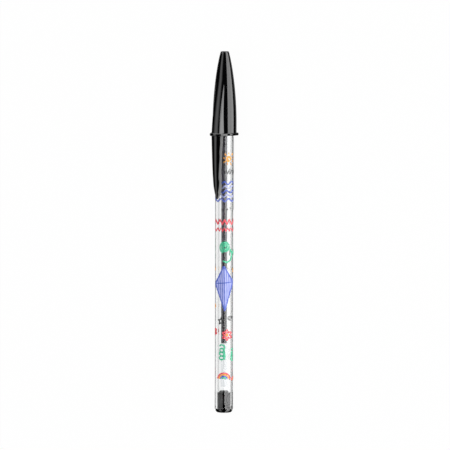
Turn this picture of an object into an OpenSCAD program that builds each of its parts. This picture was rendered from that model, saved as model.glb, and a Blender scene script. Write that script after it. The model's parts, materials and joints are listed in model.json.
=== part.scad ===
// Capped ballpoint pen with a clear six-sided barrel.
// It lies on the collar and the tail end of the barrel, with its clip straight
// up. The pieces are drawn along the pen's own axis, from the end plug at 0 up
// to the cap's top, with the clip towards +X, and laid down by rest_on_table().

/* [Barrel] */
// Width across two opposite flats
across_flats = 7.5; // [7:0.1:8.5]
// Radius of the six long edges
edge_round = 1.2; // [0.6:0.1:1.6]
// Wall thickness at the middle of a flat
barrel_wall = 1.55; // [1.2:0.05:1.8]
// Length of the barrel
barrel_l = 128.3; // [115:0.5:150]
// Length of the round cone at the writing end
cone_l = 10.3; // [7:0.1:12]
// Outer diameter at the front of the cone
nose_d = 6.6; // [6.2:0.1:7.2]
// Wall thickness at the front of the cone
nose_wall = 0.85; // [0.6:0.05:1.1]
// How far each long edge is cut back at the tail end
tail_bevel = 0.25; // [0.1:0.05:0.4]
// Diameter of the air hole in the side
air_hole_d = 1.0; // [0.6:0.1:1.6]
// Distance of the air hole from the tail end
air_hole_at = 58; // [30:1:90]

/* [End plug] */
// Height of the domed head
plug_head_h = 1.7; // [1.2:0.1:3]
// How far the head is set in from the barrel's flats
plug_inset = 0.2; // [0.05:0.05:0.4]
// Radius of the head's rounded rim
plug_rim_r = 0.9; // [0.4:0.1:1.1]
// How far the plug reaches into the barrel
plug_insert_l = 7.35; // [5:0.1:10]
// Wall thickness of the hollow insert
plug_wall = 0.8; // [0.6:0.05:1.1]
// Gap between the insert and the bore
plug_gap = 0.06; // [0.02:0.01:0.12]

/* [Refill] */
// Outer diameter of the ink tube
tube_d = 2.2; // [2:0.1:3]
// Wall thickness of the ink tube
tube_wall = 0.64; // [0.4:0.02:0.7]
// Space between the end plug and the ink tube
tube_tail_gap = 1.95; // [1:0.05:6]
// Empty length of the ink tube behind the ink
ink_used_l = 17.9; // [5:0.1:60]

/* [Tip holder] */
// Length of the holder's neck inside the barrel
neck_l = 9; // [7:0.5:12]
// Diameter of the flange that stops on the barrel
flange_d = 6; // [5.8:0.1:6.4]
// Thickness of the flange
flange_h = 1; // [0.6:0.1:1.5]
// Length of the tapered nose in front of the flange
nose_l = 8; // [6:0.5:9]
// Diameter at the rear of the tapered nose
nose_rear_d = 5.2; // [4.6:0.1:5.6]
// How deep the ink tube sits in the holder
tube_seat_l = 12; // [10:0.5:13]
// Wall thickness round the writing tip
tip_grip_wall = 0.4; // [0.3:0.05:0.6]

/* [Writing tip] */
// Diameter of the brass shank
shank_d = 2.3; // [2:0.1:2.5]
// Length of the shank inside the holder
shank_in_l = 4.4; // [3:0.1:5]
// Length of the straight shank in front of the holder
shank_out_l = 2; // [1:0.1:2.5]
// Distance from the holder to the centre of the ball
ball_reach = 5; // [4.4:0.1:5.2]
// Diameter of the ball
ball_d = 1.0; // [0.7:0.1:1.2]
// Gap between the ball and its socket
ball_gap = 0.015; // [0.01:0.005:0.03]
// Wall thickness of the rim that holds the ball
ball_rim_wall = 0.1; // [0.06:0.01:0.15]
// Number of ink channels round the ball
ink_channels = 5; // [3:1:6]

/* [Cap] */
// Length of the cap from its mouth to its top
cap_l = 34.5; // [32:0.5:40]
// How far the cap reaches back over the barrel
cap_overlap = 15; // [13:0.5:17]
// Diameter of the cap's top
cap_top_d = 3.3; // [3:0.1:4.5]
// Wall thickness of the cap
cap_wall = 0.65; // [0.5:0.05:0.8]
// Gap between the barrel's edges and the cap's bore
cap_gap = 0.13; // [0.08:0.01:0.2]
// Height of the collar round the mouth
collar_h = 1.05; // [0.6:0.05:1.6]
// How far the collar's six flats stand out
collar_out = 0.33; // [0.15:0.01:0.6]
// Radius of the collar's six corners
collar_round = 2.1; // [1:0.1:3]
// Gap between the cap's inner ribs and the barrel's cone
rib_gap = 0.05; // [0.02:0.01:0.1]
// Thickness of an inner rib
rib_w = 0.6; // [0.4:0.1:1]
// Radius of the rounded edge at the cap's top
top_round = 0.25; // [0.1:0.05:0.4]

/* [Clip] */
// Length of the clip below the cap's mouth
arm_l = 26.2; // [22:0.1:32]
// Length of the ridge that carries the clip on the cap
ridge_l = 23; // [18:0.5:26]
// Height of the clip's face above the cap at the mouth
clip_rise = 2.52; // [2:0.02:3]
// How far the tip of the clip lies above the cap's surface line
clip_tip_rise = 0.95; // [0.6:0.05:1.4]
// Thickness of the clip at the cap's mouth
clip_t = 2.2; // [1.8:0.05:2.5]
// Thickness of the clip near its tip
clip_tip_t = 1.8; // [1.4:0.05:2]
// Width of the clip at the cap's mouth
clip_w = 5.6; // [4.8:0.1:6.4]
// Width at the tip, before the tip is rounded
clip_tip_w = 3.3; // [2.8:0.1:4.2]
// Length of the rounded tip
tip_round_l = 7; // [4:0.5:9]
// Radius of the clip's round face, as a share of its half width
face_share = 1.05; // [0.9:0.05:1.2]
// Radius of the shoulders of the face, as a share of the clip's half width
shoulder_share = 0.9; // [0.4:0.05:0.9]
// Lean of the clip's sides, in degrees
side_lean = 15; // [8:1:20]
// Radius of the edges on the clip's inner side
clip_edge = 0.35; // [0.15:0.05:0.6]
// Width of the ridge where it meets the cap, at the mouth
ridge_w = 4.9; // [4.4:0.1:5.4]
// Width of the ridge where it runs out
ridge_top_w = 4.1; // [3.6:0.1:4.8]
// Radius of the ridge's shoulders
ridge_shoulder = 1; // [0.5:0.1:1.4]
// Lean of the ridge's sides, in degrees
ridge_lean = 9; // [4:1:14]
// Height of the bump that grips a pocket
grip_h = 0.35; // [0:0.05:0.6]
// Distance of that bump from the tip
grip_at = 4.6; // [3.5:0.1:6]

/* [Hidden] */
$fn = 64;

// Places along the axis
barrel_z = plug_head_h;
front_z = barrel_z + barrel_l;
cone_z = front_z - cone_l;
tube_z = barrel_z + plug_insert_l + tube_tail_gap;
flange_z = front_z;
holder_front_z = flange_z + flange_h + nose_l;
tube_end_z = front_z - neck_l + tube_seat_l;
shank_z = holder_front_z - shank_in_l;
ball_z = holder_front_z + ball_reach;
mouth_z = front_z - cap_overlap;
pen_l = mouth_z + cap_l;
clip_tip_z = mouth_z - arm_l;

// Radii
flat_r = across_flats / 2;
corner_r = corner_reach(flat_r, edge_round);
bore_r = flat_r - barrel_wall;
nose_r = nose_d / 2;
nose_bore_r = nose_r - nose_wall;
tube_r = tube_d / 2;
ink_r = tube_r - tube_wall;
cap_r = corner_r + cap_gap + cap_wall;
collar_r = cap_r + collar_out;
collar_low_r = corner_reach(collar_r, collar_round);
clip_r = cap_r + clip_rise;

// Fits and small parts of the shapes
seat_gap = 0.01;
bore_step_l = 3;
bore_step_z = cone_z - 1;
plug_lead = 0.5;
plug_rib_h = 0.05;
plug_rib_w = 0.6;
holder_lead = 0.4;
nose_front_r = shank_d / 2 + tip_grip_wall;
channel_w = 0.14;
mouth_lead = 0.2;
collar_edge = 0.15;
rib_count = 6;
rib_rise = 1;
clip_border = 0.7;
ridge_foot = 0.87;
profile_steps = 24;
arm_rings = 28;
ridge_rings = 16;
crown_steps = 8;
shoulder_steps = 5;

// The pen rests on a corner of the collar and on the tail end of the lower flat
tilt = atan((collar_low_r - flat_r) / (mouth_z - barrel_z));
rest_z = flat_r * cos(tilt) - barrel_z * sin(tilt);
rest_y = -pen_l * cos(tilt) / 2;

// Colours
clear_plastic = [0.86, 0.88, 0.90, 0.35];
black_plastic = [0.03, 0.03, 0.035];
ink_colour = [0.10, 0.07, 0.16];

module rest_on_table() {
    translate([0, rest_y, rest_z]) rotate([tilt - 90, 0, 0]) rotate([0, 0, -90]) children();
}

function mix(a, b, t) = a + (b - a) * t;

// Point of a cubic curve through p[0] and p[3], pulled by p[1] and p[2]
function bezier(p, t) =
    p[0] * pow(1 - t, 3) + p[1] * 3 * t * pow(1 - t, 2) + p[2] * 3 * t * t * (1 - t) + p[3] * pow(t, 3);

// Points of an arc about c from angle a to angle b
function arc(c, r, a, b, steps) = [for (i = [0:steps]) c + r * [cos(mix(a, b, i / steps)), sin(mix(a, b, i / steps))]];

// Distance of a rounded corner of a six-sided outline from its middle
function corner_reach(flat, round) = (flat - round) / cos(30) + round;

// Six-sided outline with rounded corners and a flat facing +X
function hexagon(flat, round, step) = [for (i = [0:5], a = [0:step:60])
    (flat - round) / cos(30) * [cos(60 * i + 30), sin(60 * i + 30)] + round * [cos(60 * i + a), sin(60 * i + a)]];

// Radius of the barrel's cone at a place along the axis
function cone_at(z) = mix(corner_r, nose_r, (z - cone_z) / cone_l);

// The turned form that trims the six-sided one is a little larger than its corners
module barrel() {
    trim = 0.3;
    trim_z = cone_z - trim * cone_l / (corner_r - nose_r);
    color(clear_plastic) rest_on_table() difference() {
        intersection() {
            translate([0, 0, barrel_z]) linear_extrude(barrel_l) polygon(hexagon(flat_r, edge_round, 7.5));
            rotate_extrude() polygon([[0, barrel_z], [corner_r - tail_bevel, barrel_z],
                [corner_r + trim, barrel_z + tail_bevel + trim], [corner_r + trim, trim_z],
                [nose_r, front_z], [0, front_z]]);
        }
        rotate_extrude() polygon([[0, barrel_z - 1], [bore_r, barrel_z - 1], [bore_r, bore_step_z],
            [nose_bore_r, bore_step_z + bore_step_l], [nose_bore_r, front_z + 1], [0, front_z + 1]]);
        translate([-bore_r / 2, 0, barrel_z + air_hole_at]) rotate([0, -90, 0])
            cylinder(d = air_hole_d, h = flat_r);
    }
}

module end_plug() {
    head_r = flat_r - plug_inset;
    insert_r = bore_r - plug_gap;
    insert_z = barrel_z + plug_insert_l;
    cup_r = insert_r - plug_wall;
    dome_h = plug_head_h - plug_rim_r;
    color(black_plastic) rest_on_table() difference() {
        union() {
            rotate_extrude() polygon(concat(
                [for (i = [0:6]) bezier([[0, 0], [head_r * 0.4, 0], [head_r - plug_rim_r, 0.05],
                    [head_r - plug_rim_r * 0.55, plug_rim_r * 0.3]], i / 6)],
                arc([head_r - plug_rim_r, plug_rim_r + dome_h * 0.4], plug_rim_r, -30, 0, 4),
                [[head_r, barrel_z], [insert_r, barrel_z], [insert_r, insert_z - plug_lead],
                    [insert_r - plug_lead / 2, insert_z], [0, insert_z]]));
            for (share = [0.3, 0.7]) translate([0, 0, barrel_z + plug_insert_l * share])
                cylinder(r = insert_r + plug_rib_h, h = plug_rib_w);
        }
        translate([0, 0, barrel_z]) cylinder(r = cup_r, h = plug_insert_l + 1);
    }
}

module ink_tube() {
    color(clear_plastic) rest_on_table() translate([0, 0, tube_z]) difference() {
        cylinder(r = tube_r, h = tube_end_z - tube_z);
        translate([0, 0, -1]) cylinder(r = ink_r, h = tube_end_z - tube_z + 2);
    }
}

module ink() {
    ink_z = tube_z + ink_used_l;
    color(ink_colour) rest_on_table() translate([0, 0, ink_z])
        cylinder(r = ink_r - seat_gap, h = tube_end_z - ink_z);
}

module tip_holder() {
    neck_r = nose_bore_r - seat_gap;
    neck_z = front_z - neck_l;
    nose_z = flange_z + flange_h;
    seat_r = tube_r + seat_gap;
    grip_r = shank_d / 2 + seat_gap;
    color("whitesmoke") rest_on_table() difference() {
        rotate_extrude() polygon([[0, neck_z], [neck_r - holder_lead, neck_z],
            [neck_r, neck_z + holder_lead * 2], [neck_r, flange_z], [flange_d / 2, flange_z],
            [flange_d / 2, nose_z - flange_h * 0.3], [flange_d / 2 - flange_h * 0.3, nose_z],
            [nose_rear_d / 2, nose_z], [nose_front_r, holder_front_z], [0, holder_front_z]]);
        translate([0, 0, neck_z - 1]) cylinder(r = seat_r, h = tube_seat_l + 1);
        translate([0, 0, neck_z]) cylinder(r = ink_r, h = holder_front_z - neck_z);
        translate([0, 0, shank_z]) cylinder(r = grip_r, h = shank_in_l + 1);
    }
}

module writing_tip() {
    shank_r = shank_d / 2;
    cone_start = holder_front_z + shank_out_l;
    ball_r = ball_d / 2;
    socket_r = ball_r + ball_gap;
    rim_z = ball_z + ball_r * 0.3;
    rim_r = sqrt(ball_r * ball_r - pow(rim_z - ball_z, 2)) + ball_gap;
    feed_r = ball_r * 0.4;
    seat_z = ball_z - socket_r * 1.05;
    color("goldenrod") rest_on_table() difference() {
        rotate_extrude() polygon([[0, shank_z], [shank_r - 0.15, shank_z], [shank_r, shank_z + 0.3],
            [shank_r, cone_start], [shank_r * 0.87, cone_start + 0.25],
            [socket_r + ball_rim_wall, ball_z - ball_r * 0.4], [rim_r + ball_rim_wall * 0.5, rim_z],
            [0, rim_z]]);
        rotate_extrude() polygon([[0, shank_z - 1], [ink_r * 0.7, shank_z - 1],
            [ink_r * 0.7, seat_z - 0.6], [feed_r, seat_z - 0.4], [feed_r, seat_z],
            [socket_r, ball_z - socket_r * 0.5], [socket_r, ball_z + 0.02], [rim_r, rim_z],
            [rim_r, rim_z + 1], [0, rim_z + 1]]);
        for (i = [0:ink_channels - 1]) rotate(360 / ink_channels * i)
            translate([0, -channel_w / 2, seat_z - 0.3]) cube([ball_r * 0.8, channel_w, 0.5]);
    }
}

module ball() {
    color("silver") rest_on_table() translate([0, 0, ball_z]) sphere(d = ball_d);
}

// Cap's outline from the top down: [distance from the top, radius]
cap_curve = [[0, cap_top_d / 2], [6, cap_top_d / 2 + 1.75], [18, cap_r], [29, cap_r]];
cap_shell = [for (i = [0:profile_steps]) bezier(cap_curve, i / profile_steps)];

// Radius of the cap at a distance from its top
function cap_at(t) = lookup(t, cap_shell);

module cap_body() {
    round_z = pen_l - top_round;
    rotate_extrude() polygon(concat(
        [[0, mouth_z], [cap_r, mouth_z]],
        [for (i = [profile_steps:-1:1]) [cap_shell[i][1], pen_l - cap_shell[i][0]]],
        arc([cap_top_d / 2 - top_round, round_z], top_round, 15, 90, 3),
        [[0, pen_l]]));
}

module cap_cavity() {
    rotate_extrude() polygon(concat(
        [[0, mouth_z - 1], [cap_r - cap_wall + mouth_lead, mouth_z - 1],
            [cap_r - cap_wall + mouth_lead, mouth_z], [cap_r - cap_wall, mouth_z + mouth_lead * 2]],
        [for (i = [profile_steps:-1:0]) [cap_shell[i][1] - cap_wall, pen_l - cap_shell[i][0]]],
        [[cap_top_d / 2 - cap_wall, pen_l + 1], [0, pen_l + 1]]));
}

// Ribs that centre the cap on the barrel's cone
module cap_ribs() {
    low = cone_z + rib_rise;
    high = front_z + rib_rise;
    intersection() {
        for (i = [0:rib_count / 2 - 1]) rotate(180 / rib_count * 2 * i)
            translate([-cap_r, -rib_w / 2, low]) cube([cap_r * 2, rib_w, high - low]);
        rotate_extrude() polygon([[cone_at(low) + rib_gap, low], [cap_at(pen_l - low) - cap_wall / 2, low],
            [cap_at(pen_l - high) - cap_wall / 2, high], [cone_at(high) + rib_gap, high]]);
    }
}

// Six-sided collar round the mouth, with a corner under the clip and bevelled edges
module cap_collar() {
    rotate(30) translate([0, 0, mouth_z]) loft([for (ring = [[0, collar_edge], [collar_edge, 0],
        [collar_h - collar_edge, 0], [collar_h, collar_edge]])
        [ring[0], hexagon(collar_r - ring[1], collar_round - ring[1], 10)]]);
}

// Collar round the foot of the clip
module clip_collar() {
    translate([0, 0, mouth_z]) loft([for (ring = [[0, collar_edge], [collar_edge, 0],
        [collar_h - collar_edge, 0], [collar_h, collar_edge]])
        let (out = clip_border - ring[1], half_w = clip_w / 2)
        [ring[0], clip_section(clip_r + out, cap_r * 0.6, half_w + out, clip_t + out,
            half_w * face_share + out, half_w * shoulder_share + out, side_lean)]]);
}

// Outline across the clip: a round face with round shoulders, leaning sides and a flat inner
// side. half_w is the half width at the depth side_h below the face.
function clip_section(face_r, inner_r, half_w, side_h, crown, shoulder, lean) =
    let (rest = half_w - shoulder * cos(lean) - (side_h - crown + shoulder * sin(lean)) * tan(lean),
        turn = asin(rest * cos(lean) / (crown - shoulder)) - lean,
        centre = [face_r - crown + (crown - shoulder) * cos(turn), (crown - shoulder) * sin(turn)],
        side_x = centre[0] + shoulder * sin(lean),
        side_y = centre[1] + shoulder * cos(lean),
        edge = min(clip_edge, (side_x - inner_r) * 0.8),
        edge_x = inner_r + edge,
        edge_y = side_y + (side_x - edge_x) * tan(lean),
        half = concat(
            [for (i = [0:crown_steps - 1]) [face_r - crown, 0] + crown * [cos(turn * i / crown_steps), sin(turn * i / crown_steps)]],
            arc(centre, shoulder, turn, 90 - lean, shoulder_steps),
            [[edge_x, edge_y], [inner_r + edge * 0.3, edge_y - edge * 0.2], [inner_r, edge_y - edge * 0.8]]),
        n = len(half))
    concat([for (i = [n - 1:-1:1]) [half[i][0], -half[i][1]]], half);

// Solid through a row of outlines, each given as [height, outline]
module loft(rings) {
    n = len(rings[0][1]);
    last = len(rings) - 1;
    polyhedron(
        points = [for (ring = rings, p = ring[1]) [p[0], p[1], ring[0]]],
        faces = concat(
            [for (k = [1:n - 2]) [0, k, k + 1]],
            [for (j = [0:last - 1], k = [0:n - 1]) let (a = j * n + k, b = j * n + (k + 1) % n) [a, a + n, b]],
            [for (j = [0:last - 1], k = [0:n - 1]) let (a = j * n + k, b = j * n + (k + 1) % n) [b, a + n, b + n]],
            [for (k = [1:n - 2]) [last * n, last * n + k + 1, last * n + k]]));
}

// Free arm of the clip: s is the distance from its tip
arm_curve = [[arm_l, clip_r], [arm_l * 0.58, clip_r], [arm_l * 0.24, clip_r - 0.1],
    [0, cap_r + clip_tip_rise]];
arm_face = [for (i = [40:-1:0]) bezier(arm_curve, i / 40)];
tip_start = 0.05;

function bow(s, l) = s < l ? sqrt(1 - pow(1 - s / l, 2)) : 1;

module clip_arm() {
    nose_of_arm = clip_tip_t * 1.8;
    loft([for (i = [0:arm_rings]) let (
            s = mix(tip_start, arm_l + collar_h / 2, pow(i / arm_rings, 2)),
            face_r = lookup(s, arm_face),
            half_w = mix(clip_tip_w, clip_w, s / arm_l) / 2 * bow(s, tip_round_l),
            thick = mix(clip_tip_t, clip_t, s / arm_l) * bow(s, nose_of_arm),
            bump = grip_h * exp(-pow((s - grip_at) / 2, 2)) * bow(s, nose_of_arm))
        [clip_tip_z + s, clip_section(face_r, face_r - thick - bump, half_w, thick,
            half_w * face_share, half_w * shoulder_share, side_lean)]]);
}

// Ridge on the cap that the clip grows out of: s is the distance above the mouth
ridge_curve = [[0, clip_r], [ridge_l * 0.3, clip_r - 0.17], [ridge_l * 0.7, clip_r - 2.17],
    [ridge_l, cap_at(cap_l - ridge_l) - 0.05]];
ridge_face = [for (i = [0:40]) bezier(ridge_curve, i / 40)];
ridge_crown = 5.5;
ridge_top_crown = 3.4;

module clip_ridge() {
    loft([for (i = [0:ridge_rings]) let (
            s = mix(collar_h / 2, ridge_l, i / ridge_rings),
            face_r = lookup(s, ridge_face),
            body_r = cap_at(cap_l - s))
        [mouth_z + s, clip_section(face_r, body_r * 0.6, mix(ridge_w, ridge_top_w, s / ridge_l) / 2,
            face_r - body_r * ridge_foot, mix(ridge_crown, ridge_top_crown, s / ridge_l), ridge_shoulder, ridge_lean)]]);
}

module cap() {
    color(black_plastic) rest_on_table() {
        difference() {
            union() {
                cap_body();
                cap_collar();
                clip_collar();
                clip_ridge();
            }
            cap_cavity();
        }
        clip_arm();
        cap_ribs();
    }
}

barrel();
end_plug();
ink_tube();
ink();
tip_holder();
writing_tip();
ball();
cap();
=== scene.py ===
"""Finishes, print, light and camera for a capped ballpoint pen with a clear six-sided barrel.

Everything is placed in the pen's own frame: x towards the clip, y to its side and z along the
axis from the end plug to the cap's top, all in millimetres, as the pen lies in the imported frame.
"""

import json
import math

import bpy
import numpy as np
from mathutils import Matrix, Vector


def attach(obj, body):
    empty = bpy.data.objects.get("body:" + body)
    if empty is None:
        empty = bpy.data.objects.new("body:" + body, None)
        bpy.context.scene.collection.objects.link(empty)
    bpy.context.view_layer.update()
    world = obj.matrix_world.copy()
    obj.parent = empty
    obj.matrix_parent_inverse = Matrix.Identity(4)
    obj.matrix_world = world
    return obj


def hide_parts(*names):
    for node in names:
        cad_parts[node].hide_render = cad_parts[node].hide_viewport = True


bl_info = {
    "name": "Clear ballpoint pen",
    "version": (1, 0, 0),
    "blender": (4, 5, 0),
    "location": "View3D > Sidebar > Pen",
    "description": "Finishes and print for a capped ballpoint pen with a clear barrel",
    "category": "Object",
}

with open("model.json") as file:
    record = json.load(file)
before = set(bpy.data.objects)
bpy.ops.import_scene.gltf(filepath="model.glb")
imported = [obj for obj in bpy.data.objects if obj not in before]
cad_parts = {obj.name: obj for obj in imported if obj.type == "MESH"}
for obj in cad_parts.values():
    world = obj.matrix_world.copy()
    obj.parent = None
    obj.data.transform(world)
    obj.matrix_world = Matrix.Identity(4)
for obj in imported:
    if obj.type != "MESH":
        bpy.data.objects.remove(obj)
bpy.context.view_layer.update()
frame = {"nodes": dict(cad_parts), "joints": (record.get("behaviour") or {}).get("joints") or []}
MM = 0.001


def joint(name):
    """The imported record's joint of that name."""
    return next(j for j in frame["joints"] if j["name"] == name)


AXIS = Vector(joint("cap_pull")["axis"]).normalized()
SIDE = Vector((1, 0, 0))
CLIP = SIDE.cross(AXIS)
BALL = Vector(joint("ball_roll")["pos_m"])


def points_of(node):
    """A node's vertices as an array, in metres in the row frame."""
    mesh = frame["nodes"][node].data
    flat = np.zeros(len(mesh.vertices) * 3, np.float64)
    mesh.vertices.foreach_get("co", flat)
    return flat.reshape(-1, 3)


TAIL = BALL + AXIS * float(((points_of("end_plug") - np.array(BALL)) @ np.array(AXIS)).min())
TURN = np.array([CLIP, SIDE, AXIS])


def local(node):
    """A node's vertices in the pen's own frame, in millimetres."""
    return (points_of(node) - np.array(TAIL)) @ TURN.T / MM


def placed(points):
    """Points of the pen's own frame, in millimetres, as points of the row frame in metres."""
    return np.asarray(points, float) * MM @ TURN + np.array(TAIL)


BARREL = local("barrel")
BARREL_RADII = np.hypot(BARREL[:, 0], BARREL[:, 1])
FLAT_R = float(BARREL[:, 0].max())
CORNER_R = float(BARREL[:, 1].max())
BARREL_TAIL = float(BARREL[:, 2].min())
BORE_R = float(BARREL_RADII[BARREL[:, 2] < BARREL_TAIL + 0.1].min())
CAP_POINTS = local("cap")
PEN_L = float(CAP_POINTS[:, 2].max())
TUBE = local("ink_tube")
INK = local("ink")
TUBE_BORE_R = float(np.hypot(TUBE[:, 0], TUBE[:, 1]).min())
# How deep a piece that touches clear plastic is sunk in it, so that no air shows between them
SUNK = 0.015
# A corner of radius r takes r (1 / cos 30 - 1) off the sharp one
EDGE_R = (FLAT_R / math.cos(math.pi / 6) - CORNER_R) / (1 / math.cos(math.pi / 6) - 1)


def srgb(red, green, blue):
    """A colour given as it looks on screen, from 0 to 255, in Blender's linear values."""
    shares = [v / 255 for v in (red, green, blue)]
    return tuple(v / 12.92 if v <= 0.04045 else ((v + 0.055) / 1.055) ** 2.4 for v in shares)


def hue(label, colour, words):
    """A colour property with its default."""
    return bpy.props.FloatVectorProperty(
        name=label, description=words, default=srgb(*colour), size=3, subtype="COLOR", min=0, max=1)


class PenPlastic(bpy.types.PropertyGroup):
    """Finishes of the plastics, the ink and the metal."""

    black: hue("Black", (8, 8, 9), "Colour of the cap and the end plug")
    clear: hue("Clear", (253, 254, 254), "Tint of the barrel")
    tube: hue("Tube", (252, 253, 254), "Tint of the ink tube")
    ink: hue("Ink", (114, 108, 126), "Colour of the ink in the tube")
    holder: hue("Holder", (226, 228, 224), "Colour of the tip holder")
    brass: hue("Brass", (214, 178, 96), "Colour of the writing tip")
    steel: hue("Ball", (188, 190, 196), "Colour of the ball")
    clear_ior: bpy.props.FloatProperty(
        name="Clear IOR", description="Refraction of the clear plastic", default=1.5, min=1.3, max=1.7)
    gloss: bpy.props.FloatProperty(
        name="Gloss roughness", description="Roughness of the black plastic", default=0.07, min=0, max=1)


class PenPrint(bpy.types.PropertyGroup):
    """The drawing printed on the barrel."""

    red: hue("Red", (226, 52, 70), "Red ink of the print")
    green: hue("Green", (22, 180, 132), "Green ink of the print")
    blue: hue("Blue", (56, 84, 186), "Blue ink of the print")
    violet: hue("Violet", (166, 174, 232), "Pale ink of the print")
    orange: hue("Orange", (240, 156, 20), "Orange ink of the print")
    black: hue("Black", (16, 16, 20), "Black ink of the print")
    stroke: bpy.props.FloatProperty(
        name="Stroke", description="Width of a drawn line, in millimetres", default=0.55, min=0.1, max=1)
    build_up: bpy.props.FloatProperty(
        name="Build-up", description="Height of the ink on the barrel, in millimetres",
        default=0.02, min=0.005, max=0.1)


class PenStage(bpy.types.PropertyGroup):
    """Light and camera."""

    turn: bpy.props.FloatProperty(
        name="Turn", description="Angle of the camera round the pen from straight above the clip",
        default=math.radians(33), subtype="ANGLE")
    rise: bpy.props.FloatProperty(
        name="Rise", description="Angle of the camera towards the cap's end",
        default=math.radians(5), subtype="ANGLE")
    distance: bpy.props.FloatProperty(
        name="Distance", description="Distance of the camera", default=1.6, min=0.3, subtype="DISTANCE")
    key: bpy.props.FloatProperty(
        name="Key", description="Radiance of the bright softbox in reflections", default=5.2, min=0)
    fill: bpy.props.FloatProperty(
        name="Fill", description="Radiance of the weak softbox in reflections", default=2.1, min=0)
    paper: hue("Floor", (252, 252, 252), "Colour of the floor")


def settings(name):
    """One of the property groups, as registered on the scene."""
    return getattr(bpy.context.scene, name)


def new_mesh(name, verts, faces, smooth=True):
    """An object from points in the pen's frame and a list of faces."""
    mesh = bpy.data.meshes.new(name)
    mesh.from_pydata(placed(verts).tolist(), [], faces)
    mesh.validate()
    mesh.polygons.foreach_set("use_smooth", [smooth] * len(mesh.polygons))
    mesh.update()
    made = bpy.data.objects.new(name, mesh)
    bpy.context.scene.collection.objects.link(made)
    return made


def turned(name, profile, steps=64):
    """A closed solid of revolution about the pen's axis from (z, radius) points; radius 0 closes an end."""
    verts, rings = [], []
    for z, r in profile:
        if r == 0:
            rings.append([len(verts)])
            verts.append((0, 0, z))
        else:
            rings.append(list(range(len(verts), len(verts) + steps)))
            turn = [2 * math.pi * k / steps for k in range(steps)]
            verts += [(r * math.cos(a), r * math.sin(a), z) for a in turn]
    faces = []
    for low, high in zip(rings, rings[1:]):
        for k in range(steps):
            nxt = (k + 1) % steps
            corners = [low[k % len(low)], low[nxt % len(low)], high[nxt % len(high)], high[k % len(high)]]
            face = list(dict.fromkeys(corners))
            if len(face) > 2:
                faces.append(face)
    return new_mesh(name, verts, faces)


def dress(target, material):
    """Gives an object one material."""
    target.data.materials.clear()
    target.data.materials.append(material)
    return target


# Shader nodes


def worked_out(tree, operation, *values):
    """Output of a Math node that takes sockets and numbers."""
    step = tree.nodes.new("ShaderNodeMath")
    step.operation = operation
    for socket, value in zip(step.inputs, values):
        if isinstance(value, (int, float)):
            socket.default_value = value
        else:
            tree.links.new(value, socket)
    return step.outputs[0]


def group_input(tree, name, default):
    """A number that a node group takes."""
    socket = tree.interface.new_socket(name=name, in_out="INPUT", socket_type="NodeSocketFloat")
    socket.default_value = default


def moulding_group():
    """Gloss of moulded plastic: slow waves from the mould, fine hairline rubs and roughness."""
    if "Moulded surface" in bpy.data.node_groups:
        return bpy.data.node_groups["Moulded surface"]
    tree = bpy.data.node_groups.new("Moulded surface", "ShaderNodeTree")
    for name, default in (("Wave size", 600.0), ("Wave height", 0.02), ("Rub amount", 0.1),
                          ("Roughness", 0.1), ("Roughness spread", 0.04)):
        group_input(tree, name, default)
    for name, kind in (("Roughness", "NodeSocketFloat"), ("Normal", "NodeSocketVector")):
        tree.interface.new_socket(name=name, in_out="OUTPUT", socket_type=kind)
    nodes, link = tree.nodes, tree.links.new
    given = nodes.new("NodeGroupInput")
    out = nodes.new("NodeGroupOutput")
    place = nodes.new("ShaderNodeTexCoord")
    wave = nodes.new("ShaderNodeTexNoise")
    wave.inputs["Detail"].default_value = 1.0
    link(place.outputs["Object"], wave.inputs["Vector"])
    link(given.outputs["Wave size"], wave.inputs["Scale"])
    # Rubs run nearly along the pen, so the noise is drawn out along the axis
    drawn = nodes.new("ShaderNodeMapping")
    drawn.inputs["Scale"].default_value = (9000.0, 260.0, 9000.0)
    link(place.outputs["Object"], drawn.inputs["Vector"])
    rub = nodes.new("ShaderNodeTexNoise")
    rub.inputs["Scale"].default_value = 1.0
    rub.inputs["Detail"].default_value = 2.0
    link(drawn.outputs["Vector"], rub.inputs["Vector"])
    sparse = nodes.new("ShaderNodeMapRange")
    sparse.inputs["From Min"].default_value = 0.6
    sparse.inputs["From Max"].default_value = 0.8
    link(rub.outputs["Fac"], sparse.inputs["Value"])
    rubbed = worked_out(tree, "MULTIPLY", sparse.outputs["Result"], given.outputs["Rub amount"])
    spread = worked_out(tree, "MULTIPLY_ADD", wave.outputs["Fac"], given.outputs["Roughness spread"],
                        given.outputs["Roughness"])
    rough = worked_out(tree, "ADD", spread, rubbed)
    rough.node.use_clamp = True
    bump = nodes.new("ShaderNodeBump")
    bump.inputs["Distance"].default_value = 0.0002
    link(given.outputs["Wave height"], bump.inputs["Strength"])
    link(wave.outputs["Fac"], bump.inputs["Height"])
    link(rough, out.inputs["Roughness"])
    link(bump.outputs["Normal"], out.inputs["Normal"])
    return tree


def new_material(name):
    """A material with its Principled BSDF."""
    made = bpy.data.materials.new(name)
    made.use_nodes = True
    shader = made.node_tree.nodes["Principled BSDF"]
    return made, made.node_tree, shader


def moulded(tree, shader, normal=True, **values):
    """Places the moulded surface group in a material."""
    surface = tree.nodes.new("ShaderNodeGroup")
    surface.node_tree = moulding_group()
    for name, value in values.items():
        surface.inputs[name.replace("_", " ")].default_value = value
    tree.links.new(surface.outputs["Roughness"], shader.inputs["Roughness"])
    if normal:
        tree.links.new(surface.outputs["Normal"], shader.inputs["Normal"])
    return surface


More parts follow.
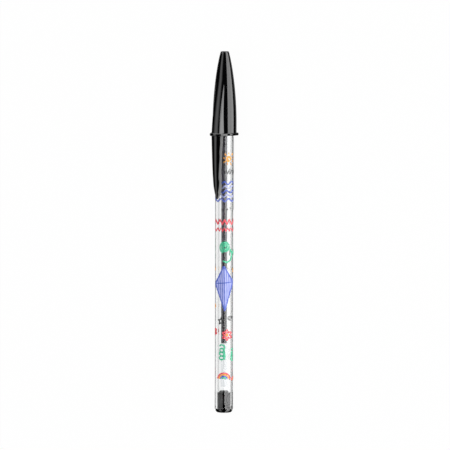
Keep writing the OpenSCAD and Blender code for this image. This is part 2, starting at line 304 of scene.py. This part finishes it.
def flecked(tree, shader, colour, shade, scale, amount):
    """Base colour with a slow change of shade, so that no finish is one flat colour."""
    place = tree.nodes.new("ShaderNodeTexCoord")
    noise = tree.nodes.new("ShaderNodeTexNoise")
    noise.inputs["Scale"].default_value = scale
    noise.inputs["Detail"].default_value = 4.0
    tree.links.new(place.outputs["Object"], noise.inputs["Vector"])
    reach = tree.nodes.new("ShaderNodeMapRange")
    reach.inputs["From Min"].default_value = 0.35
    reach.inputs["From Max"].default_value = 0.7
    reach.inputs["To Max"].default_value = amount
    tree.links.new(noise.outputs["Fac"], reach.inputs["Value"])
    mix = tree.nodes.new("ShaderNodeMix")
    mix.data_type = "RGBA"
    mix.inputs["A"].default_value = (*colour, 1)
    mix.inputs["B"].default_value = (*shade, 1)
    tree.links.new(reach.outputs["Result"], mix.inputs["Factor"])
    tree.links.new(mix.outputs["Result"], shader.inputs["Base Color"])


def black_plastic():
    """Glossy black moulding of the cap and the end plug."""
    if "black_moulding" in bpy.data.materials:
        return bpy.data.materials["black_moulding"]
    look = settings("pen_plastic")
    made, tree, shader = new_material("black_moulding")
    flecked(tree, shader, [c * 0.35 for c in look.black], look.black, 900, 1.0)
    shader.inputs["IOR"].default_value = 1.5
    moulded(tree, shader, Wave_size=420, Wave_height=0.03, Rub_amount=0.05,
            Roughness=look.gloss, Roughness_spread=0.03)
    return made


def clear_plastic(name, tint, ior, roughness):
    """Clear moulded plastic."""
    made, tree, shader = new_material(name)
    shader.inputs["Transmission Weight"].default_value = 1.0
    shader.inputs["IOR"].default_value = ior
    flecked(tree, shader, tint, [c * 0.97 for c in tint], 300, 1.0)
    moulded(tree, shader, Wave_size=260, Wave_height=0.02, Rub_amount=0.05,
            Roughness=roughness, Roughness_spread=0.01)
    return made


# Pieces


class PEN_OT_barrel(bpy.types.Operator):
    """Gives the barrel its clear plastic"""

    bl_idname = "pen.barrel"
    bl_label = "Barrel"

    def execute(self, context):
        look = settings("pen_plastic")
        dress(frame["nodes"]["barrel"], clear_plastic("clear_barrel", look.clear, look.clear_ior, 0.0))
        return {"FINISHED"}


class PEN_OT_end_plug(bpy.types.Operator):
    """Gives the end plug its black plastic"""

    bl_idname = "pen.end_plug"
    bl_label = "End plug"

    def execute(self, context):
        dress(frame["nodes"]["end_plug"], black_plastic())
        # The plug is pressed in, so its skin touches the bore all round and shows through the barrel
        plug = local("end_plug")
        low, high = BARREL_TAIL + 0.02, float(plug[:, 2].max()) - 0.5
        inner, outer = BORE_R - 0.03, BORE_R + SUNK
        skin = turned("plug_skin", [(low, inner), (low, outer), (high, outer), (high, inner), (low, inner)])
        dress(skin, black_plastic())
        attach(skin, "pen")
        return {"FINISHED"}


class PEN_OT_refill(bpy.types.Operator):
    """Makes the ink column, which wets the tube's bore, and finishes the tube"""

    bl_idname = "pen.refill"
    bl_label = "Refill"

    def execute(self, context):
        look = settings("pen_plastic")
        dress(frame["nodes"]["ink_tube"], clear_plastic("ink_tube_plastic", look.tube, 1.5, 0.0))
        wetted = TUBE_BORE_R + SUNK
        low, high = float(INK[:, 2].min()), float(INK[:, 2].max())
        # The ink's surface curves up the wall of the tube
        rise = 0.35
        bowl = [(low + rise * math.cos(a), wetted * math.sin(a))
                for a in (math.radians(d) for d in range(0, 91, 10))]
        column = turned("ink_column", bowl + [(high, wetted), (high, 0)])
        made, tree, shader = new_material("pen_ink")
        flecked(tree, shader, look.ink, [c * 0.5 for c in look.ink], 700, 1.0)
        shader.inputs["IOR"].default_value = 1.45
        moulded(tree, shader, normal=False, Roughness=0.12, Roughness_spread=0.1, Rub_amount=0.0)
        dress(column, made)
        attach(column, "pen")
        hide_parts("ink")
        return {"FINISHED"}


class PEN_OT_tip(bpy.types.Operator):
    """Finishes the tip holder, the brass tip and the ball"""

    bl_idname = "pen.tip"
    bl_label = "Tip"

    def execute(self, context):
        look = settings("pen_plastic")
        made, tree, shader = new_material("holder_moulding")
        flecked(tree, shader, look.holder, [c * 0.9 for c in look.holder], 500, 1.0)
        shader.inputs["Subsurface Weight"].default_value = 0.3
        shader.inputs["Subsurface Scale"].default_value = 0.001
        moulded(tree, shader, Wave_size=500, Wave_height=0.05, Roughness=0.38, Roughness_spread=0.1)
        dress(frame["nodes"]["tip_holder"], made)

        made, tree, shader = new_material("turned_brass")
        shader.inputs["Metallic"].default_value = 1.0
        flecked(tree, shader, look.brass, [c * 0.82 for c in look.brass], 2500, 1.0)
        # Turning marks run round the tip, close together along the axis
        place = tree.nodes.new("ShaderNodeTexCoord")
        across = tree.nodes.new("ShaderNodeMapping")
        across.inputs["Scale"].default_value = (40.0, 26000.0, 40.0)
        marks = tree.nodes.new("ShaderNodeTexNoise")
        marks.inputs["Scale"].default_value = 1.0
        bump = tree.nodes.new("ShaderNodeBump")
        bump.inputs["Strength"].default_value = 0.12
        bump.inputs["Distance"].default_value = 0.00002
        tree.links.new(place.outputs["Object"], across.inputs["Vector"])
        tree.links.new(across.outputs["Vector"], marks.inputs["Vector"])
        tree.links.new(marks.outputs["Fac"], bump.inputs["Height"])
        tree.links.new(bump.outputs["Normal"], shader.inputs["Normal"])
        moulded(tree, shader, normal=False, Roughness=0.2, Roughness_spread=0.12, Rub_amount=0.1)
        dress(frame["nodes"]["writing_tip"], made)

        made, tree, shader = new_material("ball_metal")
        shader.inputs["Metallic"].default_value = 1.0
        flecked(tree, shader, look.steel, [c * 0.8 for c in look.steel], 4000, 1.0)
        moulded(tree, shader, normal=False, Roughness=0.08, Roughness_spread=0.06, Rub_amount=0.1)
        dress(frame["nodes"]["ball"], made)
        return {"FINISHED"}


class PEN_OT_cap(bpy.types.Operator):
    """Gives the cap and its clip their black plastic"""

    bl_idname = "pen.cap"
    bl_label = "Cap"

    def execute(self, context):
        dress(frame["nodes"]["cap"], black_plastic())
        return {"FINISHED"}


# Print. A place on the barrel is (u, v): u runs round it from the middle of the clip's flat,
# towards the side, and v along it from the tail, both in millimetres.

HALF_FLAT = (FLAT_R - EDGE_R) * math.tan(math.pi / 6)
CORNER_L = EDGE_R * math.pi / 3
SIDE_L = 2 * HALF_FLAT + CORNER_L


def on_barrel(u, v, lift):
    """Points on the barrel's outside, raised by lift."""
    u, v, lift = np.broadcast_arrays(*(np.asarray(a, float) for a in (u, v, lift)))
    face = np.floor((u + SIDE_L / 2) / SIDE_L)
    along = u - face * SIDE_L
    flat_y = np.clip(along, -HALF_FLAT, HALF_FLAT)
    bend = (along - flat_y) / EDGE_R
    reach = EDGE_R + lift
    x = FLAT_R - EDGE_R + reach * np.cos(bend)
    y = flat_y + reach * np.sin(bend)
    turn = face * math.pi / 3
    return np.stack([x * np.cos(turn) - y * np.sin(turn), x * np.sin(turn) + y * np.cos(turn), v], -1)


def even(points, step):
    """A line through the points with a curve between them, resampled at even steps."""
    p = np.asarray(points, float)
    if len(p) > 2:
        ends = np.vstack([2 * p[0] - p[1], p, 2 * p[-1] - p[-2]])
        t = np.linspace(0, 1, 9)[:-1, None]
        curve = []
        for a, b, c, d in zip(ends, ends[1:], ends[2:], ends[3:]):
            curve.append(0.5 * (2 * b + (c - a) * t + (2 * a - 5 * b + 4 * c - d) * t ** 2
                                + (3 * b - a - 3 * c + d) * t ** 3))
        p = np.vstack(curve + [p[-1:]])
    run = np.concatenate([[0], np.cumsum(np.hypot(*np.diff(p, axis=0).T))])
    count = max(2, int(math.ceil(run[-1] / step)) + 1)
    at = np.linspace(0, run[-1], count)
    return np.stack([np.interp(at, run, p[:, k]) for k in (0, 1)], -1)


class Ink:
    """Collects the strokes and fields of one colour as one closed mesh."""

    step = 0.12
    across = 5
    sunk = 0.004

    def __init__(self, name, build_up, width):
        self.name, self.build_up, self.width = name, build_up, width
        self.verts, self.faces = [], []

    def add(self, points, faces):
        """Adds a patch."""
        start = sum(len(v) for v in self.verts)
        self.verts.append(points)
        self.faces += [[start + k for k in face] for face in faces]

    def stroke(self, points, width=1.0):
        """A hand-drawn line with round ends."""
        line = even(points, self.step)
        n, m = len(line), self.across
        ahead = np.gradient(line, axis=0)
        ahead /= np.maximum(np.hypot(*ahead.T), 1e-9)[:, None]
        normal = np.stack([-ahead[:, 1], ahead[:, 0]], -1)
        half = self.width * width / 2
        run = np.concatenate([[0], np.cumsum(np.hypot(*np.diff(line, axis=0).T))])
        # The pen presses a little more and less along the line, and its ends are round
        press = half * (1 + 0.12 * np.sin(run * 2.1 + line[0, 1]) + 0.06 * np.sin(run * 5.3))
        to_end = np.minimum(run, run[-1] - run)
        press *= np.sqrt(np.clip(1 - np.clip(1 - to_end / half, 0, 1) ** 2, 0.02, 1))
        share = np.linspace(-1, 1, m)
        flat = line[:, None] + normal[:, None] * (share[None, :, None] * press[:, None, None])
        dome = self.build_up * (1 - 0.6 * share ** 2)
        top = on_barrel(flat[..., 0], flat[..., 1], dome[None, :])
        base = on_barrel(flat[..., 0], flat[..., 1], -self.sunk)
        points = np.concatenate([top.reshape(-1, 3), base.reshape(-1, 3)])
        under = n * m
        faces = []
        for i in range(n - 1):
            for j in range(m - 1):
                a = i * m + j
                faces.append((a, a + m, a + m + 1, a + 1))
                faces.append((under + a, under + a + 1, under + a + m + 1, under + a + m))
            for j, flip in ((0, False), (m - 1, True)):
                a = i * m + j
                rim = (a, under + a, under + a + m, a + m)
                faces.append(rim[::-1] if flip else rim)
        for i, flip in ((0, True), (n - 1, False)):
            for j in range(m - 1):
                a = i * m + j
                rim = (a, under + a, under + a + 1, a + 1)
                faces.append(rim if flip else rim[::-1])
        self.add(points, faces)

    def field(self, corners, lift=0.4):
        """A filled outline, laid on as a thin even coat."""
        corners = np.asarray(corners, float)
        low, high = corners.min(0), corners.max(0)
        count = np.ceil((high - low) / self.step).astype(int) + 1
        us = low[0] + np.arange(count[0]) * self.step
        vs = low[1] + np.arange(count[1]) * self.step
        cu, cv = np.meshgrid(us[:-1] + self.step / 2, vs[:-1] + self.step / 2, indexing="ij")
        inside = np.zeros(cu.shape, bool)
        for (u0, v0), (u1, v1) in zip(corners, np.roll(corners, -1, 0)):
            if v0 != v1:
                crosses = (cv >= min(v0, v1)) & (cv < max(v0, v1))
                inside ^= crosses & (cu < u0 + (cv - v0) * (u1 - u0) / (v1 - v0))
        key = {}
        grid, faces = [], []

        def corner(i, j, layer):
            if (i, j, layer) not in key:
                key[i, j, layer] = len(grid)
                grid.append((us[i], vs[j], self.build_up * lift if layer else -self.sunk))
            return key[i, j, layer]

        for i, j in zip(*np.nonzero(inside)):
            ring = [(i, j), (i + 1, j), (i + 1, j + 1), (i, j + 1)]
            faces.append([corner(*c, 1) for c in ring])
            faces.append([corner(*c, 0) for c in reversed(ring)])
            beside = [(i, j - 1), (i + 1, j), (i, j + 1), (i - 1, j)]
            for k, (bi, bj) in enumerate(beside):
                open_side = not (0 <= bi < inside.shape[0] and 0 <= bj < inside.shape[1] and inside[bi, bj])
                if open_side:
                    a, b = ring[k], ring[(k + 1) % 4]
                    faces.append([corner(*a, 1), corner(*a, 0), corner(*b, 0), corner(*b, 1)])
        grid = np.array(grid)
        self.add(on_barrel(grid[:, 0], grid[:, 1], grid[:, 2]), faces)

    def dot(self, u, v, r):
        """A filled round spot."""
        turns = np.linspace(0, 2 * math.pi, 25)[:-1]
        lifts = [self.build_up * k for k in (1, 0.9, 0.4)] + [-self.sunk]
        rings = [on_barrel(u + s * r * np.cos(turns), v + s * r * np.sin(turns), lift)
                 for s, lift in zip((0.4, 0.75, 1, 1), lifts)]
        ends = [on_barrel(u, v, lift)[None] for lift in (lifts[0], lifts[-1])]
        faces = []
        for k in range(24):
            nxt = (k + 1) % 24
            faces += [(24 * j + k, 24 * j + nxt, 24 * j + 24 + nxt, 24 * j + 24 + k)[::-1] for j in range(3)]
            faces += [(96, k, nxt), (97, 72 + nxt, 72 + k)]
        self.add(np.concatenate(rings + ends), faces)

    def make(self, material):
        """Makes the object with all the strokes."""
        piece = new_mesh(self.name, np.concatenate(self.verts), self.faces, smooth=False)
        dress(piece, material)
        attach(piece, "pen")


def ring(u, v, r, wobble=0.0, turns=1.0, grow=0.0, start=0.0):
    """Points of a hand-drawn ring or spiral."""
    count = int(28 * turns)
    return [(u + (r + grow * k / count + wobble * math.sin(3 * a)) * math.cos(a),
             v + (r + grow * k / count + wobble * math.sin(3 * a)) * math.sin(a))
            for k in range(count + 1) for a in [start + 2 * math.pi * turns * k / count]]


def star(u, v, r, tips, inner, turn=0.0):
    """Corners of a star."""
    return [(u + s * math.cos(a), v + s * math.sin(a)) for k in range(2 * tips + 1)
            for s in [r if k % 2 == 0 else r * inner] for a in [turn + math.pi * k / tips]]


def straight(corners):
    """Corners repeated closely, so that the line between them stays straight."""
    made = []
    for (a, b), (c, d) in zip(corners, corners[1:]):
        made += [(a + (c - a) * t, b + (d - b) * t) for t in (0, 0.04, 0.5, 0.96)]
    return made + [corners[-1]]


def draw_sun(inks, u, v, r):
    """Spiral sun with rays."""
    inks["orange"].stroke(ring(u, v, 0.25 * r, turns=1.8, grow=0.55 * r), 1.1)
    for k in range(9):
        a = 2 * math.pi * k / 9 + 0.2
        near, far = 1.15 * r, (1.75 + 0.2 * (k % 2)) * r
        inks["orange"].stroke([(u + s * math.cos(a), v + s * math.sin(a)) for s in (near, far)], 0.9)


def draw_waves(inks, low, high, v, rows, gap):
    """Rows of waves round the barrel."""
    for row in range(rows):
        colour, width = ("violet", 0.8) if row % 2 else ("blue", 1.05)
        points = [(u, v + row * gap + 0.55 * math.sin(1.9 * u + row * 0.9))
                  for u in np.arange(low, high, 0.35)]
        inks[colour].stroke(points, width)


def draw_flower(inks, u, v, r, petals):
    """Looped flower in one line round a spot."""
    points = [(u + s * math.cos(a), v + s * math.sin(a)) for a in np.linspace(0, 2 * math.pi, 14 * petals)
              for s in [r * (0.35 + 0.65 * abs(math.sin(petals * a / 2)))]]
    inks["red"].stroke(points, 1.1)
    inks["orange"].dot(u, v, 0.28 * r)


def draw_kite(inks, u, v, wide, tall):
    """Latticed kite with a pale field."""
    corners = [(u, v + tall), (u + wide, v + 0.28 * tall),
               (u + 0.1 * wide, v - tall), (u - wide, v + 0.2 * tall)]
    inks["violet"].field(corners)
    outline = straight(corners + corners[:1])
    inks["blue"].stroke(outline, 1.1)
    inks["blue"].stroke([(u, v + tall), (u + 0.1 * wide, v - tall)], 0.8)
    inks["blue"].stroke([(u - wide, v + 0.2 * tall), (u + wide, v + 0.28 * tall)], 0.8)
    for t in (0.25, 0.5, 0.75):
        for side in (-1, 1):
            a = (u + side * wide * t, v + tall * (1 - t) + 0.26 * tall * t)
            b = (u + 0.1 * wide + side * wide * 0.9 * t, v - tall * (1 - t) + 0.2 * tall * t)
            inks["blue"].stroke([a, ((a[0] + b[0]) / 2 + 0.15, (a[1] + b[1]) / 2), b], 0.6)


def draw_tangle(inks, u, v, r, turns):
    """Row of loops drawn in one line."""
    rise = 0.42 * r * 1.6 / math.pi
    points = [(u + r * math.cos(a) * (1 + 0.15 * math.sin(2.3 * a)), v + rise * a + r * math.sin(a))
              for a in np.linspace(0, 2 * math.pi * turns, int(22 * turns))]
    inks["green"].stroke(points, 1.1)


def draw_zigzag(inks, colour, low, high, v, tall, teeth, width=1.0):
    """Zigzag line round the barrel."""
    corners = [(low + (high - low) * k / teeth, v + (tall if k % 2 else 0)) for k in range(teeth + 1)]
    inks[colour].stroke(straight(corners), width)


def draw_arcs(inks, u, v, r):
    """Nested bows."""
    for k, colour in enumerate(("red", "orange", "blue", "green")):
        s = r * (1 - 0.24 * k)
        points = [(u + s * math.cos(a), v + 0.9 * s * math.sin(a))
                  for a in np.linspace(0.05, math.pi - 0.05, 18)]
        inks[colour].stroke(points, 1.1)


def print_ink(name, colour):
    """Screen ink: nearly opaque, with thin spots where the barrel shows through."""
    made, tree, shader = new_material(name)
    flecked(tree, shader, colour, [0.15 + 0.85 * c for c in colour], 2600, 0.3)
    moulded(tree, shader, normal=False, Roughness=0.35, Roughness_spread=0.15, Rub_amount=0.0)
    place = tree.nodes.new("ShaderNodeTexCoord")
    noise = tree.nodes.new("ShaderNodeTexNoise")
    noise.inputs["Scale"].default_value = 5200.0
    cover = tree.nodes.new("ShaderNodeMapRange")
    cover.inputs["From Min"].default_value = 0.3
    cover.inputs["From Max"].default_value = 0.5
    cover.inputs["To Min"].default_value = 0.94
    tree.links.new(place.outputs["Object"], noise.inputs["Vector"])
    tree.links.new(noise.outputs["Fac"], cover.inputs["Value"])
    tree.links.new(cover.outputs["Result"], shader.inputs["Alpha"])
    return made


class PEN_OT_print(bpy.types.Operator):
    """Draws the coloured print on the barrel"""

    bl_idname = "pen.print"
    bl_label = "Print"

    def execute(self, context):
        look = settings("pen_print")
        names = ("red", "green", "blue", "violet", "orange", "black")
        inks = {n: Ink("print_" + n, look.build_up, look.stroke) for n in names}
        draw_sun(inks, 4.3, 105.5, 1.5)
        inks["black"].stroke(ring(7.9, 100.0, 0.7, turns=2.6, grow=0.5), 0.7)
        draw_zigzag(inks, "black", 2.6, 6.6, 99.2, 1.5, 7, 0.7)
        draw_waves(inks, -5.5, 9.5, 88.5, 5, 1.75)
        for k in range(5):
            inks["black"].dot(1.2 + 1.25 * k, 84.6 + 0.5 * (k % 2), 0.34)
        draw_zigzag(inks, "red", -5.0, 8.8, 78.4, 2.0, 13, 1.1)
        draw_zigzag(inks, "red", -4.6, 8.4, 75.6, 1.4, 17, 0.8)
        inks["green"].stroke(ring(2.6, 69.0, 0.3, turns=2.7, grow=2.1), 1.2)
        inks["green"].stroke(ring(7.6, 66.5, 0.25, turns=2.2, grow=1.3, start=2), 1.1)
        inks["green"].stroke([(4.9, 68.4), (5.6, 66.2), (5.2, 64.0), (3.6, 62.8), (1.6, 63.4)], 1.2)
        draw_kite(inks, 2.2, 52.0, 4.1, 9.2)
        for u, v in ((-2.6, 60.0), (6.9, 59.4), (-2.4, 44.6)):
            inks["orange"].stroke(straight(star(u, v, 0.95, 5, 0.45)), 0.8)
        inks["black"].stroke(straight(star(1.0, 38.4, 1.6, 5, 0.42, 0.3)), 0.9)
        inks["black"].stroke(ring(4.9, 39.6, 0.8), 0.8)
        inks["black"].dot(4.9, 39.6, 0.3)
        draw_flower(inks, 3.6, 32.6, 2.1, 6)
        draw_flower(inks, -2.6, 34.0, 1.5, 5)
        draw_tangle(inks, 1.4, 22.4, 1.15, 3.5)
        draw_tangle(inks, 6.4, 22.0, 0.9, 3.5)
        draw_arcs(inks, 2.2, 14.2, 2.9)
        draw_arcs(inks, 7.6, 13.6, 1.9)
        for name, ink in inks.items():
            ink.make(print_ink("print_ink_" + name, getattr(look, name)))
        return {"FINISHED"}


# Stage

PHOTO = 450
PEN_TOP_ROW = 51.35
PEN_END_ROW = 412.3
PEN_COLUMN = 224.37
PHOTO_LEAN = math.radians(0.13)

# Softboxes round the pen: where each one starts and ends, in degrees from the camera,
# and its distance and half length in metres
KEY_ARC = (30.8, 91.8)
FILL_ARC = (-24, -84)
CARD_REACH = 0.6
CARD_HALF_LENGTH = 0.9
# How low a softbox may hang, and how far from the pen and above the floor its part on the floor lies
CARD_LOWEST = 0.004
CARD_CLEAR = 0.0055
ABOVE_FLOOR = 0.0002

# Lamps by name, with the way to each one's side of the camera and its power in watts
LAMPS = (("key_lamp", 0.8, 4.2), ("fill_lamp", -1.1, 2.0))
LAMP_DISTANCE = 0.9
LAMP_SIZE = (0.5, 1.0)

# What each kind of ray sees of the world; the later ones go over the earlier
WORLD_LEVELS = (("Is Diffuse Ray", 0.56), ("Is Glossy Ray", 0.001),
                ("Is Transmission Ray", 0.4), ("Is Camera Ray", 1.0))

# What reflections see of the floor, as level, span across and span along the pen in millimetres:
# white beside the clear barrel, dim close to the whole pen, dark elsewhere
FLOOR_ZONES = ((1.0, (-60, 60), (0, 84)), (0.3, (-46, 7), (0, PEN_L)))
# Share of the floor's white that is its own glow; the rest takes the pen's shadow
FLOOR_GLOW = 0.97


def card(name, centre, along, across, radiance, soft=False):
    """Softbox that shows only in reflections: half sizes along and across, and its radiance.

    A soft one is brightest in the middle and fades out across itself."""
    along, across = Vector(along), Vector(across)
    corners = [centre + s * along + t * across for s, t in ((-1, -1), (1, -1), (1, 1), (-1, 1))]
    mesh = bpy.data.meshes.new(name)
    mesh.from_pydata([tuple(c) for c in corners], [], [(0, 1, 2, 3)])
    places = mesh.uv_layers.new(name="place").data
    for place, uv in zip(places, ((0, 0), (1, 0), (1, 1), (0, 1))):
        place.uv = uv
    made = bpy.data.objects.new(name, mesh)
    bpy.context.scene.collection.objects.link(made)
    material = bpy.data.materials.new(name)
    material.use_nodes = True
    tree = material.node_tree
    tree.nodes.clear()
    glow = tree.nodes.new("ShaderNodeEmission")
    glow.inputs["Strength"].default_value = radiance
    out = tree.nodes.new("ShaderNodeOutputMaterial")
    tree.links.new(glow.outputs[0], out.inputs["Surface"])
    if soft:
        place = tree.nodes.new("ShaderNodeUVMap")
        apart = tree.nodes.new("ShaderNodeSeparateXYZ")
        tree.links.new(place.outputs["UV"], apart.inputs["Vector"])
        half_wave = worked_out(tree, "SINE", worked_out(tree, "MULTIPLY", apart.outputs["Y"], math.pi))
        level = worked_out(tree, "MULTIPLY", worked_out(tree, "POWER", half_wave, 2), radiance)
        tree.links.new(level, glow.inputs["Strength"])
    mesh.materials.append(material)
    for kind in ("camera", "diffuse", "transmission", "volume_scatter", "shadow"):
        setattr(made, "visible_" + kind, False)


def lamp(name, direction, power, target):
    """Area lamp that lights the object and shows in nothing."""
    data = bpy.data.lights.new(name, "AREA")
    data.shape = "RECTANGLE"
    data.size, data.size_y = LAMP_SIZE
    data.energy = power
    made = bpy.data.objects.new(name, data)
    made.location = target + direction.normalized() * LAMP_DISTANCE
    made.rotation_euler = direction.to_track_quat("Z", "Y").to_euler()
    made.visible_glossy = False
    made.visible_camera = False
    made.visible_transmission = False
    bpy.context.scene.collection.objects.link(made)


class PEN_OT_stage(bpy.types.Operator):
    """Makes the floor, the lamps, the world and the camera"""

    bl_idname = "pen.stage"
    bl_label = "Stage"

    def execute(self, context):
        look = settings("pen_stage")
        scene = context.scene
        scene.view_settings.view_transform = "Standard"
        middle = TAIL + AXIS * (PEN_L * MM / 2)

        toward = CLIP * math.cos(look.turn) + SIDE * math.sin(look.turn)
        right = AXIS.cross(toward).normalized()
        view = toward * math.cos(look.rise) + AXIS * math.sin(look.rise)
        data = bpy.data.cameras.new("camera")
        camera = bpy.data.objects.new("camera", data)
        scene.collection.objects.link(camera)
        scene.camera = camera
        up = view.cross(right).normalized()
        lean = Matrix.Rotation(PHOTO_LEAN, 3, view)
        right, up = lean @ right, lean @ up
        facing = Matrix((right, up, view)).transposed()
        camera.rotation_euler = facing.to_euler()
        camera.location = middle + view * look.distance
        # The pen's ends as slopes seen from the camera set the lens and the vertical shift
        ends = [TAIL + AXIS * (z * MM) - middle for z in (0, PEN_L)]
        tail, top = (up.dot(end) / (look.distance - view.dot(end)) for end in ends)
        focal = (PEN_END_ROW - PEN_TOP_ROW) / (top - tail)
        data.lens = data.sensor_width * focal / PHOTO
        data.clip_start, data.clip_end = 0.01, 20
        data.shift_x = -(PEN_COLUMN - PHOTO / 2) / PHOTO
        data.shift_y = (PEN_TOP_ROW + focal * top - PHOTO / 2) / PHOTO

        self.floor(look)
        self.world(scene)
        self.lights(look, toward, right, middle)
        return {"FINISHED"}

    def floor(self, look):
        """White floor that keeps the pen's soft shadow and is dim in reflections."""
        size = 3.0
        mesh = bpy.data.meshes.new("floor")
        corners = [(-size, -size, 0), (size, -size, 0), (size, size, 0), (-size, size, 0)]
        mesh.from_pydata(corners, [], [(0, 1, 2, 3)])
        made = bpy.data.objects.new("floor", mesh)
        bpy.context.scene.collection.objects.link(made)
        material = bpy.data.materials.new("floor")
        material.use_nodes = True
        tree = material.node_tree
        tree.nodes.clear()
        link = tree.links.new
        path = tree.nodes.new("ShaderNodeLightPath")
        paper = tree.nodes.new("ShaderNodeBsdfDiffuse")
        tone = tree.nodes.new("ShaderNodeMix")
        tone.data_type = "RGBA"
        tone.inputs["A"].default_value = (*look.paper, 1)
        tone.inputs["B"].default_value = (0.004, 0.004, 0.004, 1)
        link(path.outputs["Is Glossy Ray"], tone.inputs["Factor"])
        link(tone.outputs["Result"], paper.inputs["Color"])
        glow = tree.nodes.new("ShaderNodeEmission")
        glow.inputs["Strength"].default_value = 1.0
        place = tree.nodes.new("ShaderNodeTexCoord")
        apart = tree.nodes.new("ShaderNodeSeparateXYZ")
        link(place.outputs["Object"], apart.inputs["Vector"])
        last = None
        for level, across, along in FLOOR_ZONES:
            spans = [x * MM for x in across], [placed([0, 0, z])[1] for z in along]
            zone = level
            for axis, (start, end) in zip("XY", spans):
                inside = worked_out(tree, "COMPARE", apart.outputs[axis],
                                    (start + end) / 2, (end - start) / 2)
                zone = worked_out(tree, "MULTIPLY", inside, zone)
            last = worked_out(tree, "MAXIMUM", zone, last or 0.0)
        last = worked_out(tree, "MULTIPLY", last, path.outputs["Is Glossy Ray"])
        for kind in ("Is Camera Ray", "Is Transmission Ray"):
            last = worked_out(tree, "MAXIMUM", last, path.outputs[kind])
        share = worked_out(tree, "MULTIPLY", last, FLOOR_GLOW)
        mix = tree.nodes.new("ShaderNodeMixShader")
        link(share, mix.inputs["Fac"])
        link(paper.outputs[0], mix.inputs[1])
        link(glow.outputs[0], mix.inputs[2])
        out = tree.nodes.new("ShaderNodeOutputMaterial")
        link(mix.outputs[0], out.inputs["Surface"])
        mesh.materials.append(material)

    def world(self, scene):
        """White to the camera, grey as light and through clear plastic, nearly black in reflections."""
        world = bpy.data.worlds.new("studio")
        scene.world = world
        world.use_nodes = True
        tree = world.node_tree
        link = tree.links.new
        shade = tree.nodes["Background"]
        shade.inputs["Color"].default_value = (1, 1, 1, 1)
        path = tree.nodes.new("ShaderNodeLightPath")
        last = None
        for kind, level in WORLD_LEVELS:
            pick = tree.nodes.new("ShaderNodeMix")
            pick.inputs["A"].default_value = 0.5
            pick.inputs["B"].default_value = level
            link(path.outputs[kind], pick.inputs["Factor"])
            if last:
                link(last, pick.inputs["A"])
            last = pick.outputs["Result"]
        link(last, shade.inputs["Strength"])

    def lights(self, look, toward, right, middle):
        """Lamps at a plain level, and the softboxes that show in reflections."""
        for name, beside, power in LAMPS:
            lamp(name, toward + right * beside, power, middle)
        for name, arc, radiance, soft in (("key_card", KEY_ARC, look.key, False),
                                          ("fill_card", FILL_ARC, look.fill, True)):
            a, b = (toward * math.cos(turn) + right * math.sin(turn) for turn in map(math.radians, arc))
            near, far = middle + a * CARD_REACH, middle + b * CARD_REACH
            # The part of a card that would lie under the floor is laid on it instead
            if far.z < CARD_LOWEST:
                share = (near.z - CARD_LOWEST) / (near.z - far.z)
                cut = near + (far - near) * share
                foot = middle + b * (middle.z / -b.z) + Vector((math.copysign(CARD_CLEAR, b.x), 0, 0))
                self.flat_card(name + "_floor", foot, cut, radiance)
                far = cut
            card(name, (near + far) / 2, AXIS * CARD_HALF_LENGTH, (far - near) / 2, radiance, soft)
        # Seen in the edges that face the cap's end
        card("end_card", middle + AXIS * 0.8, right * 1.4, toward * 0.7, look.key)

    def flat_card(self, name, near, far, radiance):
        """Part of a softbox that lies on the floor."""
        near, far = Vector(near), Vector(far)
        near.z = far.z = ABOVE_FLOOR
        card(name, (near + far) / 2, Vector((0, CARD_HALF_LENGTH, 0)), (far - near) / 2, radiance)


class PEN_PT_panel(bpy.types.Panel):
    """Lists the pen's pieces in the sidebar"""

    bl_label = "Pen"
    bl_idname = "PEN_PT_panel"
    bl_space_type = "VIEW_3D"
    bl_region_type = "UI"
    bl_category = "Pen"

    def draw(self, context):
        for maker in MAKERS:
            self.layout.operator(maker.bl_idname)
        for group, _ in GROUPS:
            box = self.layout.box()
            values = settings(group)
            for name in values.bl_rna.properties.keys():
                if name not in ("rna_type", "name"):
                    box.prop(values, name)


GROUPS = (("pen_plastic", PenPlastic), ("pen_print", PenPrint), ("pen_stage", PenStage))
MAKERS = (PEN_OT_barrel, PEN_OT_end_plug, PEN_OT_refill, PEN_OT_tip, PEN_OT_cap, PEN_OT_print, PEN_OT_stage)


def register():
    """Registers the classes and hangs the settings on the scene."""
    for cls in (*(c for _, c in GROUPS), *MAKERS, PEN_PT_panel):
        bpy.utils.register_class(cls)
    for name, cls in GROUPS:
        setattr(bpy.types.Scene, name, bpy.props.PointerProperty(type=cls))


def unregister():
    """Takes the settings and the classes away again."""
    for name, _ in GROUPS:
        delattr(bpy.types.Scene, name)
    for cls in (PEN_PT_panel, *reversed(MAKERS), *(c for _, c in reversed(GROUPS))):
        bpy.utils.unregister_class(cls)


def main():
    """Makes every piece and the stage."""
    register()
    for maker in MAKERS:
        group, name = maker.bl_idname.split(".")
        getattr(getattr(bpy.ops, group), name)()


if __name__ == "__main__":
    main()
